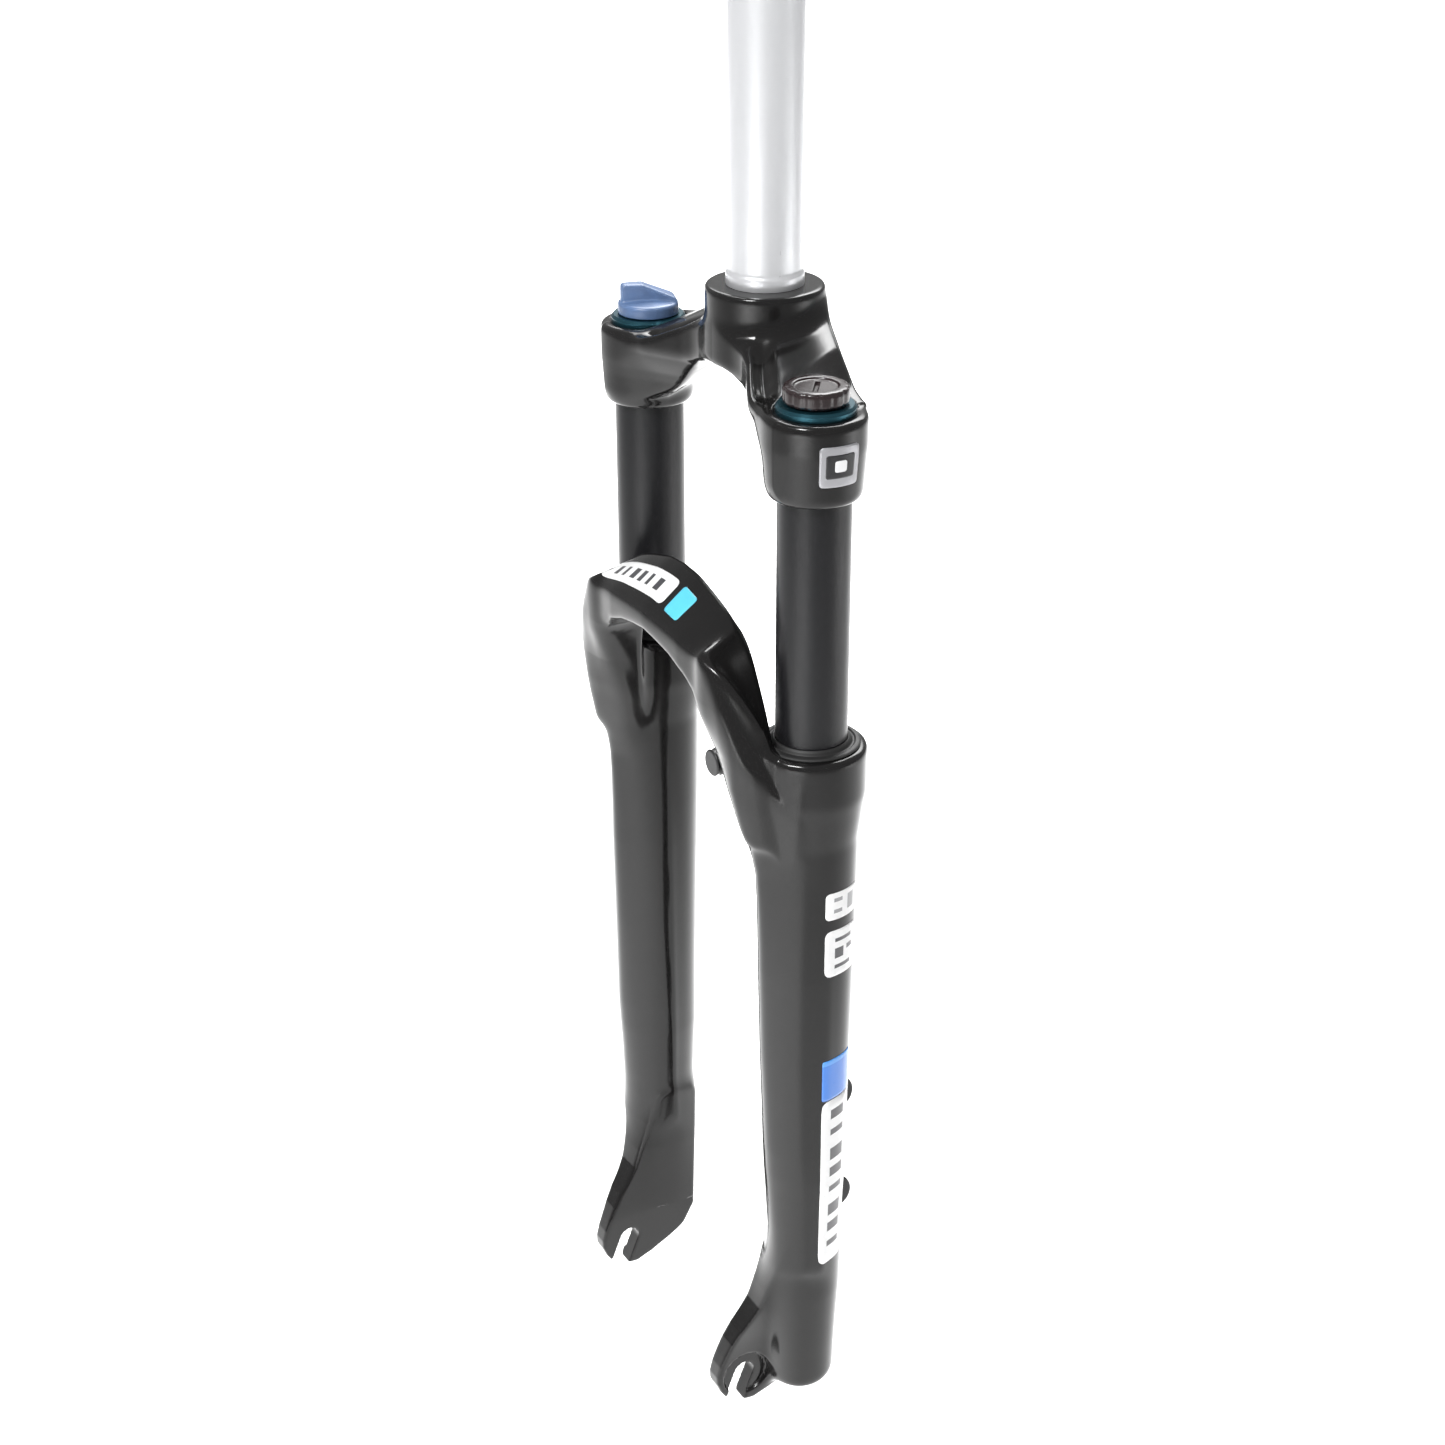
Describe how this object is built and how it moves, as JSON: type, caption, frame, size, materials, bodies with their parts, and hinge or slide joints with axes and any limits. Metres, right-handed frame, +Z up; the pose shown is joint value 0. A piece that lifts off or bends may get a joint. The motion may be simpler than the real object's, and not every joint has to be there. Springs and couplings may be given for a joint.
{
  "type": "bicycle suspension fork",
  "caption": "Telescopic bicycle suspension fork: threadless steerer, crown, sliding lower legs with a front arch, open dropouts, preload and lockout knobs.",
  "frame": {"origin": "on the steerer axis, in the plane of the crown race shoulder", "axes": "+Z up along the steerer, -Y forward in the riding direction, +X to the rider's left"},
  "size_m": [0.1738, 0.0795, 0.735],
  "materials": {
    "steerer_silver": "bright silver, fine drawn finish",
    "crown_gloss_black": "forged, gloss black lacquer",
    "casting_gloss_black": "cast, gloss black lacquer",
    "stanchion_black": "black coated tube, satin",
    "cap_anodised": "anodised, dark teal",
    "knob_blue": "moulded, blue",
    "knob_black": "moulded, dark",
    "rubber_black": "matte",
    "oil_foam": "open foam",
    "slide_plastic": "self-lubricating plastic",
    "inner_aluminium": "machined",
    "bright_steel": "ground",
    "spring_steel": "oiled",
    "bolt_black": "black oxide",
    "guide_plastic": "moulded, black"
  },
  "bodies": {
    "upper": {"steerer_tube": "steerer_silver", "crown": "crown_gloss_black", "stanchion_left": "stanchion_black", "stanchion_right": "stanchion_black", "rod_guide_left": "inner_aluminium", "rod_guide_right": "inner_aluminium", "preload_cap": "cap_anodised", "lockout_cap": "cap_anodised", "damper_tube": "inner_aluminium", "coil_spring": "spring_steel"},
    "lower_legs": {"lower_casting": "casting_gloss_black", "foot_bolts": "bolt_black", "foot_washers": "inner_aluminium", "spring_rod": "inner_aluminium", "top_out_bumper": "rubber_black", "damper_shaft": "bright_steel", "damper_piston": "slide_plastic", "hose_guide": "guide_plastic", "dust_seal_left": "rubber_black", "foam_ring_left": "oil_foam", "bottom_bumper_left": "rubber_black", "bushing_left_upper": "slide_plastic", "bushing_left_lower": "slide_plastic", "dust_seal_right": "rubber_black", "foam_ring_right": "oil_foam", "bottom_bumper_right": "rubber_black", "bushing_right_upper": "slide_plastic", "bushing_right_lower": "slide_plastic"},
    "preload_knob": {"preload_knob": "knob_black", "preload_stem": "bright_steel"},
    "preload_plug": {"preload_plug": "slide_plastic"},
    "lockout": {"lockout_knob": "knob_blue", "lockout_spindle": "bright_steel", "lockout_valve": "inner_aluminium"}
  },
  "joints": [
    {"name": "suspension_travel", "type": "slide", "parent": "upper", "child": "lower_legs", "axis": [0, 0, 1], "range_m": [0, 0.08], "stiffness_N_per_m": 8000, "springref_m": -0.012, "deforming": ["coil_spring"]},
    {"name": "preload_turn", "type": "hinge", "parent": "upper", "child": "preload_knob", "pos_m": [0.065, -0.0162, -0.022], "axis": [0, 0, -1], "range_deg": [0, 720]},
    {"name": "preload_slide", "type": "slide", "parent": "upper", "child": "preload_plug", "axis": [0, 0, -1], "range_m": [0, 0.006]},
    {"name": "lockout_turn", "type": "hinge", "parent": "upper", "child": "lockout", "pos_m": [-0.065, -0.0162, -0.022], "axis": [0, 0, -1], "range_deg": [0, 90]}
  ],
  "couplings": [
    {"joint": "preload_turn", "follows": "preload_slide", "rad_per_m": 2094.3}
  ]
}
